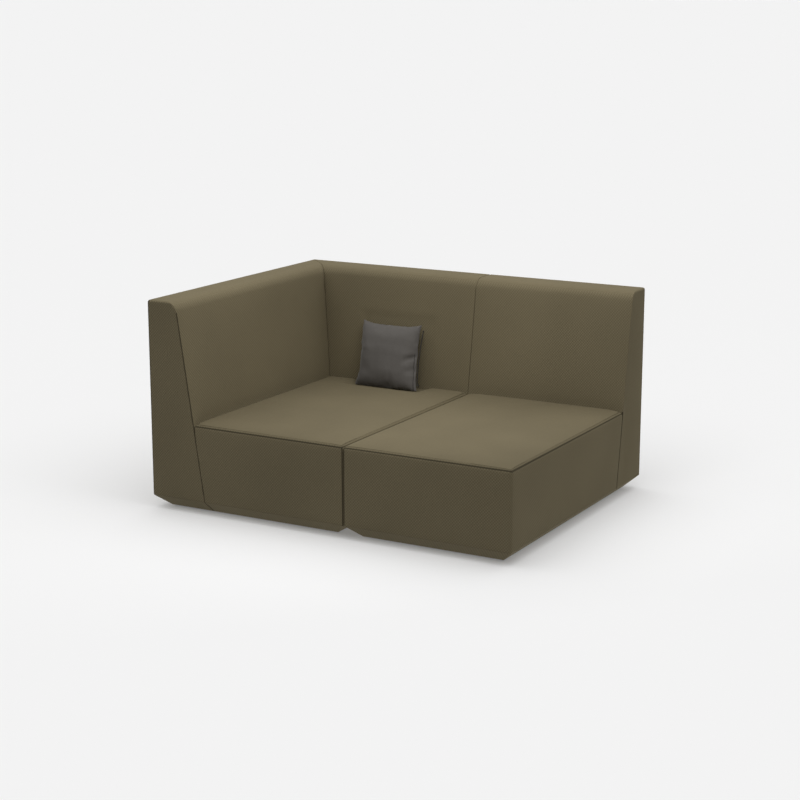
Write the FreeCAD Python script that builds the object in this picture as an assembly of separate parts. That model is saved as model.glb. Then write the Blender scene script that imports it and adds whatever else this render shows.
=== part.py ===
import FreeCAD, Part
import math
import os

# Modular corner sofa: a corner module with an arm and a back, and an open module with a back.
# Each element is a fabric cover over foam over a plywood frame, standing on low glides and
# joined to its neighbour by a steel tongue that slides into a keeper under the base.
# Millimetres, +Z up. The shapes are drawn from the left front corner at floor level, and
# moved at the end so that the origin is the centre of the floor under the sofa.

# Overall sizes
sofa_width = 1780.0
sofa_depth = 1380.0
sofa_height = 944.0
seat_height = 404.0
corner_module_width = 995.0
upright_top_thickness = 152.0
upright_foot_thickness = 285.0
base_lift = 6.0
chamfer_width = 62.0
chamfer_height = 55.0
element_gap = 0.6

# Roundings and crown of the upholstered forms
upright_inner_round = 55.0
upright_outer_round = 14.0
upright_end_round = 12.0
seat_edge_round = 14.0
seat_front_corner_round = 14.0
seat_rear_corner_round = 24.0
chamfer_round = 10.0
seat_crown = 6.0

# Layers from the fabric inwards
cover_thickness = 2.5
layer_gap = 0.3
dust_cloth_thickness = 1.0
base_board_thickness = 15.0
board_margin = 2.0
upright_pad = 24.0
topper_thickness = 30.0
core_thickness = 112.0

# Seat frame
seat_rail_thickness = 22.0
bearer_thickness = 28.0
bearer_drop = 12.0
corner_block_size = 48.0
webbing_thickness = 2.0
webbing_width = 60.0
webbing_pitch = 125.0

# Arm and back frames
panel_thickness = 6.0
rib_thickness = 18.0
rib_pitch = 360.0
top_rail_height = 34.0

# Glides
glide_radius = 20.0
glide_edge_round = 1.5
glide_inset = 52.0

# Joining plates and keepers, all between the floor and the base boards
tongue_width = 44.0
tongue_thickness = 2.0
tongue_packing = 0.5
tongue_engagement = 60.0
tongue_mount_length = 76.0
tongue_nose = 10.0
keeper_length = 45.0
keeper_setback = 12.0
keeper_sheet = 1.5
keeper_flange = 16.0
keeper_side_play = 0.5
keeper_play = 0.3
side_joint_distance = 260.0
back_joint_distance = 130.0

# Wood screws
screw_shank_radius = 2.0
screw_head_radius = 4.0
screw_head_height = 2.0
screw_length = 13.0
screw_hole_play = 0.2

# Scatter pillow
pillow_bottom_width = 338.0
pillow_top_width = 318.0
pillow_height = 318.0
pillow_thickness = 108.0
pillow_draw = 10.0
pillow_edge = 5.0
pillow_cover = 1.5
pillow_centre_from_left = 597.0
pillow_lean_degrees = 17.5
rest_gap = 0.3

# Pillow zip, in the seam on the pillow's right side
zip_width = 7.0
zip_depth = 1.8
zip_margin = 26.0
slider_width = 8.0
slider_length = 11.0
slider_depth = 4.0
pull_length = 16.0
pull_width = 5.0
pull_thickness = 1.2
pull_head_radius = 2.0
pull_pin_radius = 0.9
pull_pin_play = 0.1
pull_lug = 1.4

# How far every cutter runs past what it cuts, and how near faces must be to count as touching
overrun = 40.0
touch_distance = 0.001

# Heights and places that follow from the sizes above
chamfer_top = base_lift + chamfer_height
upright_slope = (upright_foot_thickness - upright_top_thickness) / (sofa_height - chamfer_top)
board_bottom = base_lift + dust_cloth_thickness
board_top = board_bottom + base_board_thickness
skin = cover_thickness + layer_gap
core_top = seat_height - cover_thickness - topper_thickness
core_bottom = core_top - core_thickness
webbing_bottom = core_bottom - 2 * webbing_thickness


def upright_thickness_at(z):
    return upright_top_thickness + upright_slope * (sofa_height - z)


def vector(x, y, z):
    return FreeCAD.Vector(x, y, z)


# Outlines: a corner is its two coordinates, its rounding and the rise of the edge after it

def corner(a, b, rounding=0.0, rise=0.0):
    return (a, b, rounding, rise)


def inset(corners, distances):
    # Every edge moved inwards by its own distance, and the corners where the moved edges meet
    count = len(corners)
    area = 0.0
    for i in range(count):
        here, after = corners[i], corners[(i + 1) % count]
        area += here[0] * after[1] - after[0] * here[1]
    turn = 1 if area > 0 else -1
    lines = []
    for i in range(count):
        here, after = corners[i], corners[(i + 1) % count]
        run = math.hypot(after[0] - here[0], after[1] - here[1])
        normal_a = -turn * (after[1] - here[1]) / run
        normal_b = turn * (after[0] - here[0]) / run
        offset = normal_a * here[0] + normal_b * here[1] + distances[i]
        lines.append((normal_a, normal_b, offset))
    moved = []
    for i in range(count):
        a1, b1, c1 = lines[i - 1]
        a2, b2, c2 = lines[i]
        cross = a1 * b2 - a2 * b1
        rounding = max(corners[i][2] - max(distances[i - 1], distances[i], 0.0), 0.0)
        moved.append(corner((c1 * b2 - c2 * b1) / cross, (a1 * c2 - a2 * c1) / cross,
                            rounding, corners[i][3]))
    return moved


def outline_edges(corners, place):
    # Lines and arcs round the corners; place puts a pair of coordinates into space
    count = len(corners)
    starts, middles, ends = [], [], []
    for i in range(count):
        before, here, after = corners[i - 1], corners[i], corners[(i + 1) % count]
        to_before = FreeCAD.Vector(before[0] - here[0], before[1] - here[1], 0)
        to_after = FreeCAD.Vector(after[0] - here[0], after[1] - here[1], 0)
        half = to_before.getAngle(to_after) / 2
        reach = min(here[2] / math.tan(half), 0.45 * min(to_before.Length, to_after.Length))
        radius = reach * math.tan(half)
        to_before.normalize()
        to_after.normalize()
        centre_line = to_before + to_after
        centre_line.normalize()
        point = FreeCAD.Vector(here[0], here[1], 0)
        starts.append(point + to_before * reach)
        middles.append(point + centre_line * (radius / math.sin(half) - radius))
        ends.append(point + to_after * reach)
    edges = []
    for i in range(count):
        if corners[i][2] > 0:
            arc = [place(p.x, p.y) for p in (starts[i], middles[i], ends[i])]
            edges.append(Part.Arc(*arc).toShape())
        leave, arrive = ends[i], starts[(i + 1) % count]
        rise = corners[i][3]
        if rise:
            crest = (leave + arrive) / 2 + FreeCAD.Vector(0, rise, 0)
            arc = [place(p.x, p.y) for p in (leave, crest, arrive)]
            edges.append(Part.Arc(*arc).toShape())
        else:
            edges.append(Part.LineSegment(place(leave.x, leave.y), place(arrive.x, arrive.y)).toShape())
    return edges


def prism(corners, axis, low, high):
    # The outline pushed along one axis: x takes (y, z) corners, y takes (x, z), z takes (x, y)
    places = {
        "x": lambda a, b: vector(low, a, b),
        "y": lambda a, b: vector(a, low, b),
        "z": lambda a, b: vector(a, b, low),
    }
    push = {"x": vector(high - low, 0, 0), "y": vector(0, high - low, 0), "z": vector(0, 0, high - low)}
    face = Part.Face(Part.Wire(outline_edges(corners, places[axis])))
    return face.extrude(push[axis])


def box(low, high):
    size = [high[i] - low[i] for i in range(3)]
    return Part.makeBox(size[0], size[1], size[2], vector(*low))


def level(low, high):
    # Everything under the sofa's plan between two heights
    return box((-overrun, -overrun, low), (sofa_width + overrun, sofa_depth + overrun, high))


def form(element, depth=0.0):
    # The element's three outlines pushed through each other. With a depth, each face is moved
    # inwards by it, and the form runs out below the base.
    limits = {"x": sofa_width, "y": sofa_depth, "z": sofa_height}
    solid = None
    for axis, corners in element.items():
        distances = [depth] * len(corners)
        if depth and axis != "z":
            distances[-1] = -overrun
        pushed = prism(inset(corners, distances), axis, -overrun, limits[axis] + overrun)
        solid = pushed if solid is None else solid.common((pushed,), touch_distance)
    return solid


def single(shape):
    # One clean solid out of a cut or common
    solids = shape.Solids
    if len(solids) == 1:
        return solids[0]
    return Part.makeCompound(solids)


# The five upholstered elements: outlines in x-z (pushed along y), y-z (along x) and plan (along z).
# In x-z and y-z outlines the last edge is the base.

def arm_element():
    foot = upright_thickness_at(base_lift)
    return {
        "y": [
            corner(chamfer_width, base_lift),
            corner(0, chamfer_top, chamfer_round),
            corner(0, sofa_height, upright_outer_round),
            corner(upright_top_thickness, sofa_height, upright_inner_round),
            corner(foot, base_lift),
        ],
        "x": [
            corner(chamfer_width, base_lift),
            corner(0, chamfer_top, chamfer_round),
            corner(0, sofa_height, upright_end_round),
            corner(sofa_depth, sofa_height),
            corner(sofa_depth, chamfer_top),
            corner(sofa_depth - chamfer_width, base_lift),
        ],
        "z": [
            corner(0, 0, upright_end_round),
            corner(foot, 0),
            corner(foot, sofa_depth - foot - element_gap),
            corner(0, sofa_depth - element_gap),
        ],
    }


def back_element(left, right, mitred):
    # A back from one side to the other, with the plinth chamfer on both ends and on the rear
    foot = upright_thickness_at(base_lift)
    front = sofa_depth - foot
    section = [
        corner(sofa_depth - chamfer_width, base_lift),
        corner(sofa_depth, chamfer_top, chamfer_round),
        corner(sofa_depth, sofa_height, upright_outer_round),
        corner(sofa_depth - upright_top_thickness, sofa_height, upright_inner_round),
        corner(front, base_lift),
    ]
    end = [
        corner(left + chamfer_width, base_lift),
        corner(left, chamfer_top, chamfer_round),
        corner(left, sofa_height, 0 if mitred else upright_end_round),
        corner(right, sofa_height, upright_end_round),
        corner(right, chamfer_top, chamfer_round),
        corner(right - chamfer_width, base_lift),
    ]
    if mitred:
        plan = [
            corner(left + foot + element_gap, front),
            corner(right, front),
            corner(right, sofa_depth, upright_end_round),
            corner(left + element_gap, sofa_depth),
        ]
    else:
        plan = [
            corner(left, front),
            corner(right, front),
            corner(right, sofa_depth, upright_end_round),
            corner(left, sofa_depth, upright_end_round),
        ]
    return {"x": section, "y": end, "z": plan}


def seat_element(left, right, beside_arm):
    # A seat block in front of the back. Beside the arm its side leans as the arm does, and any
    # other side stands upright over the plinth chamfer.
    foot = upright_thickness_at(base_lift)
    brow = upright_thickness_at(seat_height)
    rear_foot = sofa_depth - foot - element_gap
    rear_brow = sofa_depth - brow - element_gap
    if beside_arm:
        left_side = [
            corner(left + foot + element_gap, base_lift),
            corner(left + brow + element_gap, seat_height, seat_edge_round, seat_crown),
        ]
        plan_left = left + brow + element_gap
    else:
        left_side = [
            corner(left + chamfer_width, base_lift),
            corner(left, chamfer_top, chamfer_round),
            corner(left, seat_height, seat_edge_round, seat_crown),
        ]
        plan_left = left
    return {
        "y": left_side + [
            corner(right, seat_height, seat_edge_round),
            corner(right, chamfer_top, chamfer_round),
            corner(right - chamfer_width, base_lift),
        ],
        "x": [
            corner(chamfer_width, base_lift),
            corner(0, chamfer_top, chamfer_round),
            corner(0, seat_height, seat_edge_round, seat_crown),
            corner(rear_brow, seat_height, seat_edge_round),
            corner(rear_foot, base_lift),
        ],
        "z": [
            corner(plan_left, 0, seat_front_corner_round),
            corner(right, 0, seat_front_corner_round),
            corner(right, rear_brow, seat_rear_corner_round),
            corner(plan_left, rear_brow, seat_rear_corner_round),
        ],
    }


# Shared layers of an element

def make_cover(element):
    return single(form(element).cut(form(element, cover_thickness)))


def make_dust_cloth(element):
    return single(form(element, skin).common(level(base_lift, board_bottom)))


def make_base_board(element):
    return single(form(element, skin + board_margin).common(level(board_bottom, board_top)))


def make_glides(places):
    glides = []
    for x, y in places:
        disc = Part.makeCylinder(glide_radius, base_lift, vector(x, y, 0))
        rim = [edge for edge in disc.Edges if edge.BoundBox.ZMax < base_lift / 2]
        glides.append(disc.makeFillet(glide_edge_round, rim))
    return Part.makeCompound(glides)


# Screws, which stand head down under a plate at height z

def screw(x, y, z):
    head = Part.makeCylinder(screw_head_radius, screw_head_height, vector(x, y, z - screw_head_height))
    shank = Part.makeCylinder(screw_shank_radius, screw_length, vector(x, y, z))
    return head.fuse(shank).removeSplitter()


def screw_hole(x, y):
    radius = screw_shank_radius + screw_hole_play
    return Part.makeCylinder(radius, board_top, vector(x, y, 0))


def screws(places, z):
    return [screw(x, y, z) for x, y in places]


def drill(shape, places):
    for x, y in places:
        shape = shape.cut(screw_hole(x, y))
    return single(shape)


# A joint between two elements: a point on the line where their bases meet, and the way the
# tongue points, with how far each base stands back from that line

tongue_bottom = base_lift - tongue_thickness - tongue_packing
keeper_floor = tongue_bottom - keeper_play - keeper_sheet


def turned(shape, way):
    angle = {"+x": 0, "+y": 90, "-x": 180, "-y": 270}[way]
    shape.rotate(vector(0, 0, 0), vector(0, 0, 1), angle)
    return shape


def tongue_screw_places():
    near = tongue_mount_length / 4
    return [(-near, 0), (-3 * near, 0)]


def keeper_screw_places(bite):
    across = tongue_width / 2 + keeper_side_play + keeper_sheet + keeper_flange / 2
    middle = bite + keeper_setback + keeper_length / 2
    return [(middle, -across), (middle, across)]


def tongue_shape(bite):
    # Lies along +x: the mount behind the origin, the tongue in front of it
    half = tongue_width / 2
    blade = Part.Face(Part.Wire(outline_edges([
        corner(-tongue_mount_length, -half),
        corner(bite + tongue_engagement, -half, tongue_nose),
        corner(bite + tongue_engagement, half, tongue_nose),
        corner(-tongue_mount_length, half),
    ], lambda a, b: vector(a, b, tongue_bottom)))).extrude(vector(0, 0, tongue_thickness))
    packing = box((-tongue_mount_length, -half, tongue_bottom + tongue_thickness),
                  (0, half, base_lift))
    plate = blade.fuse(packing).removeSplitter()
    return drill(plate, tongue_screw_places())


def keeper_shape(bite):
    # A folded strap: a floor under the tongue, two walls and two flanges screwed to the base
    wall = tongue_width / 2 + keeper_side_play
    edge = wall + keeper_sheet
    start = bite + keeper_setback
    end = start + keeper_length
    channel = box((start, -edge, keeper_floor), (end, edge, base_lift))
    space = box((start - overrun, -wall, keeper_floor + keeper_sheet),
                (end + overrun, wall, base_lift + overrun))
    strap = channel.cut(space)
    for side in (-1, 1):
        low, high = sorted((side * edge, side * (edge + keeper_flange)))
        flange = box((start, low, base_lift - keeper_sheet), (end, high, base_lift))
        strap = strap.fuse(flange)
    return drill(strap.removeSplitter(), keeper_screw_places(bite))


def moved_places(places, at, way):
    result = []
    for x, y in places:
        spot = turned(Part.Vertex(x, y, 0), way).Point
        result.append((spot.x + at[0], spot.y + at[1]))
    return result


def joint_hardware(at, way, bite):
    # The tongue and its screws belong to one element, the keeper and its screws to the other
    def put(shape):
        shape = turned(shape, way)
        shape.translate(vector(at[0], at[1], 0))
        return shape

    return {
        "tongue": put(tongue_shape(bite)),
        "keeper": put(keeper_shape(bite)),
        "tongue_holes": moved_places(tongue_screw_places(), at, way),
        "keeper_holes": moved_places(keeper_screw_places(bite), at, way),
    }


# Arm and back frames: ribs between an outer and an inner panel, under a top rail

def upright_frame(element, outwards, run_axis, run_low, run_high):
    envelope = form(element, skin + upright_pad).common(level(board_top, sofa_height))
    side = vector(*outwards)
    outer = envelope.cut(envelope.translated(side * -panel_thickness))
    outer = outer.common(level(chamfer_top, sofa_height))
    inner = envelope.cut(envelope.translated(side * panel_thickness))
    middle = envelope.common(envelope.translated(side * -panel_thickness))
    middle = middle.common(envelope.translated(side * panel_thickness))
    rail_bottom = sofa_height - skin - upright_pad - top_rail_height
    rail = middle.common(level(rail_bottom, sofa_height))
    body = middle.common(level(board_top, rail_bottom))
    count = max(2, int(round((run_high - run_low) / rib_pitch)) + 1)
    ribs = []
    for i in range(count):
        start = run_low + i * (run_high - run_low - rib_thickness) / (count - 1)
        end = start + rib_thickness
        if run_axis == "x":
            slot = box((start, -overrun, 0), (end, sofa_depth + overrun, sofa_height))
        else:
            slot = box((-overrun, start, 0), (sofa_width + overrun, end, sofa_height))
        ribs.append(single(body.common(slot)))
    return {
        "envelope": envelope,
        "panels": Part.makeCompound([single(outer), single(inner)]),
        "rib_frame": Part.makeCompound(ribs + [single(rail)]),
    }


def upright_foam(element, envelope):
    inside = form(element, skin).common(level(board_top, sofa_height))
    return single(inside.cut(envelope))


# Seat frame: rails on the base board, bearers, corner blocks and webbing, under the foam

def seat_frame(element):
    board = make_base_board(element).BoundBox
    low_x, high_x, low_y, high_y = board.XMin, board.XMax, board.YMin, board.YMax
    rail = seat_rail_thickness
    long_rails, short_rails = [], []
    for y in (low_y, high_y - rail):
        long_rails.append(box((low_x, y, board_top), (high_x, y + rail, webbing_bottom)))
    for x in (low_x, high_x - rail):
        short_rails.append(box((x, low_y + rail, board_top), (x + rail, high_y - rail, webbing_bottom)))
    blocks = []
    block = corner_block_size
    for x, side in ((low_x + rail, 1), (high_x - rail, -1)):
        for y, way in ((low_y + rail, 1), (high_y - rail, -1)):
            corners = [corner(x, y), corner(x + side * block, y), corner(x, y + way * block)]
            blocks.append(prism(corners, "z", board_top, webbing_bottom - bearer_drop))
    bearers = []
    for share in (1 / 3, 2 / 3):
        middle = low_y + share * (high_y - low_y)
        bearers.append(box((low_x + rail, middle - bearer_thickness / 2, board_top),
                           (high_x - rail, middle + bearer_thickness / 2, webbing_bottom - bearer_drop)))
    straps = []
    for along, first, last in (("y", low_x, high_x), ("x", low_y, high_y)):
        count = int((last - first - 2 * rail) / webbing_pitch)
        for i in range(count):
            middle = (first + last) / 2 + (i - (count - 1) / 2) * webbing_pitch
            start, end = middle - webbing_width / 2, middle + webbing_width / 2
            if along == "y":
                straps.append(box((start, low_y, webbing_bottom),
                                  (end, high_y, webbing_bottom + webbing_thickness)))
            else:
                straps.append(box((low_x, start, webbing_bottom + webbing_thickness),
                                  (high_x, end, core_bottom)))
    return {
        "rails": Part.makeCompound(long_rails + short_rails),
        "bearers": Part.makeCompound(bearers + blocks),
        "webbing": Part.makeCompound(straps),
        "space": box((low_x, low_y, board_top), (high_x, high_y, core_bottom)),
    }


def seat_foams(element, space):
    inside = form(element, skin)
    side = inside.common(level(board_top, core_bottom)).cut(space)
    core = inside.common(level(core_bottom, core_top))
    topper = inside.common(level(core_top, seat_height + overrun))
    return {"side_foam": single(side), "core_foam": single(core), "topper_foam": single(topper)}


def glide_places(element):
    board = make_base_board(element).BoundBox
    near_x, far_x = board.XMin + glide_inset, board.XMax - glide_inset
    near_y, far_y = board.YMin + glide_inset, board.YMax - glide_inset
    return near_x, far_x, near_y, far_y


# Pillow: lens sections from its lower to its upper edge, leaned against the back

pillow_section_shares = [0.0, 0.035, 0.12, 0.28, 0.5, 0.72, 0.88, 0.965, 1.0]
pillow_swell_power = 0.52


def pillow_half_width(share):
    straight = pillow_bottom_width + share * (pillow_top_width - pillow_bottom_width)
    return straight / 2 - pillow_draw * 4 * share * (1 - share)


def pillow_half_thickness(share):
    swell = (4 * share * (1 - share)) ** pillow_swell_power
    return pillow_edge / 2 + (pillow_thickness - pillow_edge) / 2 * swell


def pillow_solid(depth=0.0):
    height = pillow_height - 2 * depth
    sections = []
    for share in pillow_section_shares:
        half_width = pillow_half_width(share) - 2 * depth
        half_thickness = pillow_half_thickness(share) - depth
        z = depth + share * height
        left, right = vector(-half_width, 0, z), vector(half_width, 0, z)
        front = Part.Arc(left, vector(0, -half_thickness, z), right).toShape()
        rear = Part.Arc(right, vector(0, half_thickness, z), left).toShape()
        sections.append(Part.Wire([front, rear]))
    return Part.makeLoft(sections, True, False)


def seam_x(z):
    return pillow_half_width(z / pillow_height)


def zip_tape():
    low, high = zip_margin, pillow_height - zip_margin
    middle = (low + high) / 2
    rings = []
    for offset in (layer_gap, layer_gap + zip_depth):
        rings.append([vector(seam_x(z) + offset, -zip_width / 2, z) for z in (low, middle, high)])
    edges = [
        Part.Arc(*rings[0]).toShape(),
        Part.LineSegment(rings[0][2], rings[1][2]).toShape(),
        Part.Arc(rings[1][2], rings[1][1], rings[1][0]).toShape(),
        Part.LineSegment(rings[1][0], rings[0][0]).toShape(),
    ]
    return Part.Face(Part.Wire(edges)).extrude(vector(0, zip_width, 0))


def zip_line():
    # Where the slider's inner face runs: from its closed place up the chord of the zip
    outside = layer_gap + zip_depth + layer_gap
    low, high = zip_margin, pillow_height - zip_margin
    start = vector(seam_x(low) + outside, 0, low)
    end = vector(seam_x(high) + outside, 0, high)
    return start, end


def pull_reach():
    # From the slider's inner face out to the middle of the pin
    return slider_depth + layer_gap + pull_head_radius


def zip_lean():
    start, end = zip_line()
    return math.atan2(end.x - start.x, end.z - start.z)


def zip_slider():
    body = box((0, -slider_width / 2, 0), (slider_depth, slider_width / 2, slider_length))
    upright_edges = [edge for edge in body.Edges if edge.BoundBox.ZLength > slider_length / 2]
    body = body.makeFillet(slider_depth / 4, upright_edges)
    middle = slider_length / 2
    eye = pull_width / 2 + layer_gap
    for side in (-1, 1):
        low, high = sorted((side * eye, side * (eye + pull_lug)))
        lug = box((slider_depth / 2, low, middle - pull_head_radius),
                  (pull_reach() + pull_head_radius, high, middle + pull_head_radius))
        body = body.fuse(lug)
    pin = Part.makeCylinder(pull_pin_radius, 2 * (eye + pull_lug),
                            vector(pull_reach(), -eye - pull_lug, middle), vector(0, 1, 0))
    body = body.fuse(pin).removeSplitter()
    body.rotate(vector(0, 0, 0), vector(0, 1, 0), math.degrees(zip_lean()))
    body.translate(zip_line()[0])
    return body


def pull_pivot():
    # The middle of the pin
    lean = zip_lean()
    out, up = pull_reach(), slider_length / 2
    return zip_line()[0] + vector(out * math.cos(lean) + up * math.sin(lean), 0,
                                  up * math.cos(lean) - out * math.sin(lean))


def pull_tab():
    # A round head on the pin and a flat tab hanging from it
    half = pull_width / 2
    head = Part.makeCylinder(pull_head_radius, pull_width, vector(0, -half, 0), vector(0, 1, 0))
    tab = box((-pull_thickness / 2, -half, -pull_length), (pull_thickness / 2, half, 0))
    hole = Part.makeCylinder(pull_pin_radius + pull_pin_play, 2 * pull_width,
                             vector(0, -pull_width, 0), vector(0, 1, 0))
    tab = tab.fuse(head).cut(hole).removeSplitter()
    tab.translate(pull_pivot())
    return single(tab)


def seat_top_at(y, rear):
    # The crowned seat's height along its depth
    low, high = seat_edge_round, rear - seat_edge_round
    radius = ((high - low) ** 2 / 4 + seat_crown ** 2) / (2 * seat_crown)
    across = y - (low + high) / 2
    return seat_height + math.sqrt(radius ** 2 - across ** 2) - (radius - seat_crown)


def back_face_at(z):
    return sofa_depth - upright_thickness_at(z)


def place_pillow(shapes):
    # Leaned back about its lower edge, moved back almost to the back's face, and stood on the seat
    cover = shapes["pillow_cover"]
    for shape in shapes.values():
        shape.rotate(vector(0, 0, 0), vector(1, 0, 0), -pillow_lean_degrees)
    face_lean = math.atan(upright_slope)
    face_place = pillow_height
    face = box((-sofa_width, 0, -sofa_height), (sofa_width, overrun, sofa_height))
    face.rotate(vector(0, 0, 0), vector(1, 0, 0), -math.degrees(face_lean))
    face.translate(vector(0, face_place, 0))
    free = (cover.distToShape(face)[0] - rest_gap) / math.cos(face_lean)
    below = box((-sofa_width, -sofa_depth, -sofa_height), (sofa_width, sofa_depth, -pillow_height))
    low = cover.distToShape(below)[0] - pillow_height
    seat_rear = sofa_depth - upright_thickness_at(seat_height) - element_gap
    y = back_face_at(seat_height - low) - face_place + free
    z = seat_top_at(y, seat_rear) + rest_gap - low
    y = back_face_at(z) - face_place + free
    for shape in shapes.values():
        shape.translate(vector(pillow_centre_from_left, y, z))


# All the nodes

def upright_nodes(name, element, outwards, run_axis, hardware, glides):
    frame = upright_frame(element, outwards, run_axis[0], run_axis[1], run_axis[2])
    holes = [place for joint in hardware for place in joint["tongue_holes"]]
    plate_bottom = tongue_bottom
    return {
        name + "_cover": make_cover(element),
        name + "_foam": upright_foam(element, frame["envelope"]),
        name + "_panels": frame["panels"],
        name + "_rib_frame": frame["rib_frame"],
        name + "_base_board": drill(make_base_board(element), holes),
        name + "_dust_cloth": drill(make_dust_cloth(element), holes),
        name + "_glides": make_glides(glides),
        name + "_tongues": Part.makeCompound([joint["tongue"] for joint in hardware]),
        name + "_screws": Part.makeCompound(screws(holes, plate_bottom)),
    }


def seat_nodes(name, element, kept, sent, glides):
    # kept: joints whose keeper is under this seat; sent: joints whose tongue is
    frame = seat_frame(element)
    foams = seat_foams(element, frame["space"])
    keeper_holes = [place for joint in kept for place in joint["keeper_holes"]]
    tongue_holes = [place for joint in sent for place in joint["tongue_holes"]]
    holes = keeper_holes + tongue_holes
    all_screws = screws(keeper_holes, base_lift - keeper_sheet) + screws(tongue_holes, tongue_bottom)
    nodes = {
        name + "_cover": make_cover(element),
        name + "_topper_foam": foams["topper_foam"],
        name + "_core_foam": foams["core_foam"],
        name + "_side_foam": foams["side_foam"],
        name + "_webbing": frame["webbing"],
        name + "_rails": frame["rails"],
        name + "_bearers": frame["bearers"],
        name + "_base_board": drill(make_base_board(element), holes),
        name + "_dust_cloth": drill(make_dust_cloth(element), holes),
        name + "_glides": make_glides(glides),
        name + "_keepers": Part.makeCompound([joint["keeper"] for joint in kept]),
        name + "_screws": Part.makeCompound(all_screws),
    }
    if sent:
        nodes[name + "_tongues"] = Part.makeCompound([joint["tongue"] for joint in sent])
    return nodes


def pillow_nodes():
    shapes = {
        "pillow_cover": single(pillow_solid().cut(pillow_solid(pillow_cover))),
        "pillow_filling": pillow_solid(pillow_cover + layer_gap),
        "pillow_zip_tape": zip_tape(),
        "pillow_zip_slider": zip_slider(),
        "pillow_zip_pull": pull_tab(),
        "pivot": Part.Vertex(pull_pivot()),
        "zip_start": Part.Vertex(zip_line()[0]),
        "zip_end": Part.Vertex(zip_line()[1]),
    }
    place_pillow(shapes)
    marks = {name: shapes.pop(name).Point for name in ("pivot", "zip_start", "zip_end")}
    return shapes, marks


def build():
    seam = corner_module_width
    half_gap = element_gap / 2
    arm = arm_element()
    left_back = back_element(0, seam - half_gap, True)
    right_back = back_element(seam + half_gap, sofa_width, False)
    left_seat = seat_element(0, seam - half_gap, True)
    right_seat = seat_element(seam + half_gap, sofa_width, False)

    foot = upright_thickness_at(base_lift)
    edge = side_joint_distance
    back_edge = back_joint_distance
    rear = sofa_depth - foot
    side_bite = skin + board_margin + element_gap
    module_bite = 2 * chamfer_width + skin + board_margin + element_gap
    inside = skin + board_margin

    # Joints: the place is on the edge of the base that carries the tongue
    arm_joints = [joint_hardware((foot - inside, y), "+x", side_bite + inside)
                  for y in (edge, rear - edge)]
    left_back_joints = [joint_hardware((x, rear + inside), "-y", side_bite + inside)
                        for x in (foot + back_edge, seam - chamfer_width - back_edge)]
    right_back_joints = [joint_hardware((x, rear + inside), "-y", side_bite + inside)
                         for x in (seam + chamfer_width + back_edge,
                                   sofa_width - chamfer_width - back_edge)]
    module_edge = seam + half_gap + chamfer_width + inside
    module_joints = [joint_hardware((module_edge, y), "-x", module_bite + inside)
                     for y in (edge, rear - edge)]
    next_edge = sofa_width + half_gap + chamfer_width + inside
    open_side_joints = [joint_hardware((next_edge, y), "-x", module_bite + inside)
                        for y in (edge, rear - edge)]

    nodes = {}
    near_x, far_x, near_y, far_y = glide_places(left_seat)
    nodes.update(seat_nodes(
        "left_seat", left_seat, arm_joints + left_back_joints + module_joints, [],
        [(x, y) for x in (near_x, far_x) for y in (near_y, far_y)]))
    near_x, far_x, near_y, far_y = glide_places(right_seat)
    nodes.update(seat_nodes(
        "right_seat", right_seat, right_back_joints + open_side_joints, module_joints,
        [(x, y) for x in (near_x, far_x) for y in (near_y, far_y)]))
    near_x, far_x, near_y, far_y = glide_places(arm)
    middle = (chamfer_width + foot) / 2
    nodes.update(upright_nodes(
        "arm", arm, (-1, 0, 0), ("y", chamfer_width + upright_pad, rear - upright_pad), arm_joints,
        [(middle, near_y), (middle, (near_y + rear) / 2), (middle, rear)]))
    across = sofa_depth - (chamfer_width + foot) / 2
    near_x, far_x, near_y, far_y = glide_places(left_back)
    nodes.update(upright_nodes(
        "left_back", left_back, (0, 1, 0), ("x", foot + upright_pad, seam - chamfer_width - upright_pad),
        left_back_joints, [(foot, across), (far_x, across)]))
    near_x, far_x, near_y, far_y = glide_places(right_back)
    nodes.update(upright_nodes(
        "right_back", right_back, (0, 1, 0),
        ("x", seam + chamfer_width + upright_pad, sofa_width - chamfer_width - upright_pad),
        right_back_joints, [(near_x, across), (far_x, across)]))
    pillow, marks = pillow_nodes()
    nodes.update(pillow)
    return nodes, marks


def main():
    os.makedirs("parts", exist_ok=True)
    nodes, marks = build()
    centre = vector(-sofa_width / 2, -sofa_depth / 2, 0)
    for name, shape in nodes.items():
        shape.translate(centre)
        shape.exportStep("parts/" + name + ".step")
        state = "valid" if shape.isValid() else "NOT VALID"
        print(name, len(shape.Solids), "solids", round(shape.Volume / 1000, 1), "cm3", state)
    for name, point in marks.items():
        print(name, [round(value, 3) for value in point + centre])


main()
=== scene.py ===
import bpy, bmesh, math
from mathutils import Matrix, Vector, noise


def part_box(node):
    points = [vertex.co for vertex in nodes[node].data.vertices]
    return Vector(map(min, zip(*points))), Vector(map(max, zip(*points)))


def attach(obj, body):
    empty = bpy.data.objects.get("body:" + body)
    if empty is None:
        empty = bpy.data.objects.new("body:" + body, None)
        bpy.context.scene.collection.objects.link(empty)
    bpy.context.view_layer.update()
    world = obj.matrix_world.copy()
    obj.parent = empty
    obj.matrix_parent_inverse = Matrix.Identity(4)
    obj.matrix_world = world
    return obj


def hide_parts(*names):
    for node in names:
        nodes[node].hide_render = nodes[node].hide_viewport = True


# Modular corner sofa in olive woven fabric, with a small grey scatter pillow.
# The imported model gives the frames, foams and fittings. The covers and the pillow are made here.

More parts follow.
